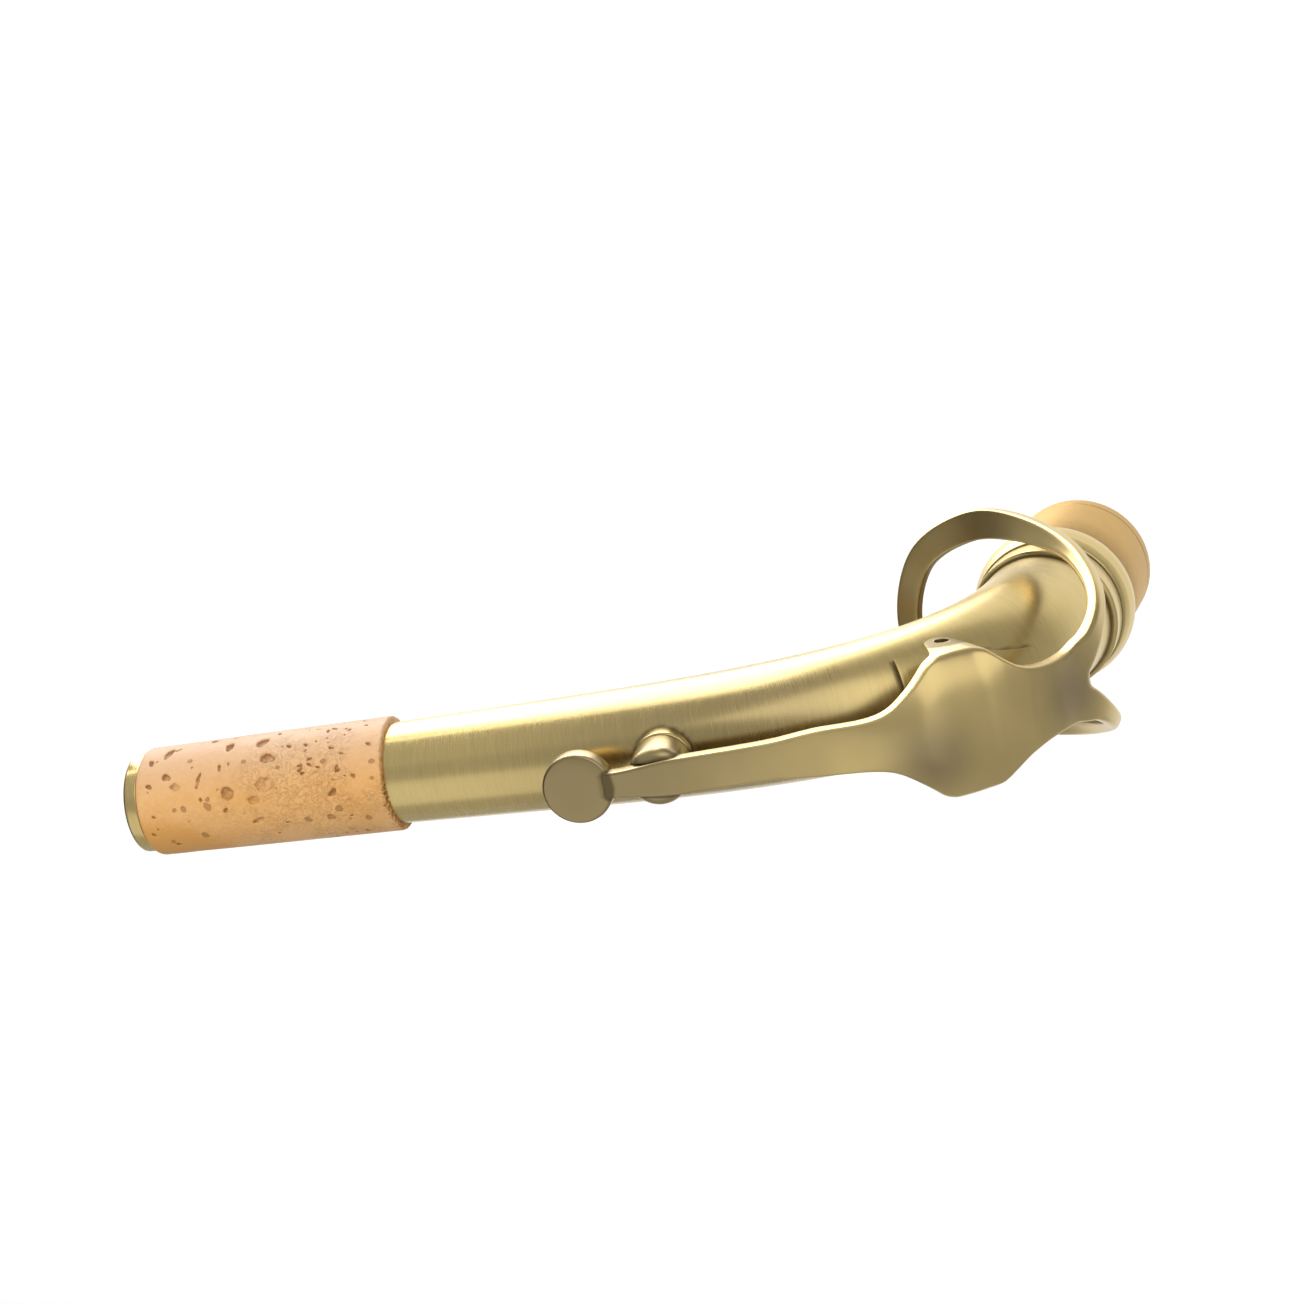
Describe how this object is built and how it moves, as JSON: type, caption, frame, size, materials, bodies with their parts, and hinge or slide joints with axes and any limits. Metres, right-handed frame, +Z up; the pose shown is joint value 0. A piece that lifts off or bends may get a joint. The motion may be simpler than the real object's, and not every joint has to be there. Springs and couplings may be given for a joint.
{
  "type": "saxophone neck",
  "caption": "Curved brass saxophone neck with a tenon and collar at the body end, a corked mouthpiece end, and a sprung octave key with ring, saddle, arm and pad cup.",
  "frame": {"origin": "centre of the shoulder under the collar, where the neck seats on the instrument's body", "axes": "+Z up the tenon axis into the neck, +X towards the mouthpiece end, the XZ plane is the neck's plane of symmetry"},
  "size_m": [0.1516, 0.0388, 0.1057],
  "materials": {
    "satin_brass": "antiqued brass, brushed round the tube to a satin, clear lacquered",
    "key_brass": "antiqued brass, satin, a little browner than the tube",
    "raw_brass": "bare turned brass, matt orange-gold",
    "cork": "natural sheet cork, pitted and flecked",
    "pad_leather": "fine leather over felt",
    "steel": "turned steel",
    "spring_steel": "blued spring steel"
  },
  "bodies": {
    "neck": {"neck_tube": "satin_brass", "tip_ring": "satin_brass", "neck_cork": "cork", "tenon_sleeve": "raw_brass", "tenon_collar": "satin_brass", "neck_ferrule": "satin_brass", "saddle_plate": "satin_brass", "pivot_post": "satin_brass", "octave_pip": "satin_brass", "pip_flange": "satin_brass"},
    "octave_key": {"key_saddle": "key_brass", "key_ring": "key_brass", "badge_disc": "key_brass", "pad_cup": "key_brass", "octave_pad": "pad_leather", "hinge_screw": "steel", "flat_spring": "spring_steel", "spring_screw": "steel"}
  },
  "joints": [
    {"name": "octave_key_pivot", "type": "hinge", "parent": "neck", "child": "octave_key", "pos_m": [0.00491, 0, 0.0554], "axis": [0, -1, 0], "range_deg": [0, 6], "stiffness_Nm_per_rad": 0.1, "springref_deg": -14.32, "deforming": ["flat_spring"]}
  ]
}
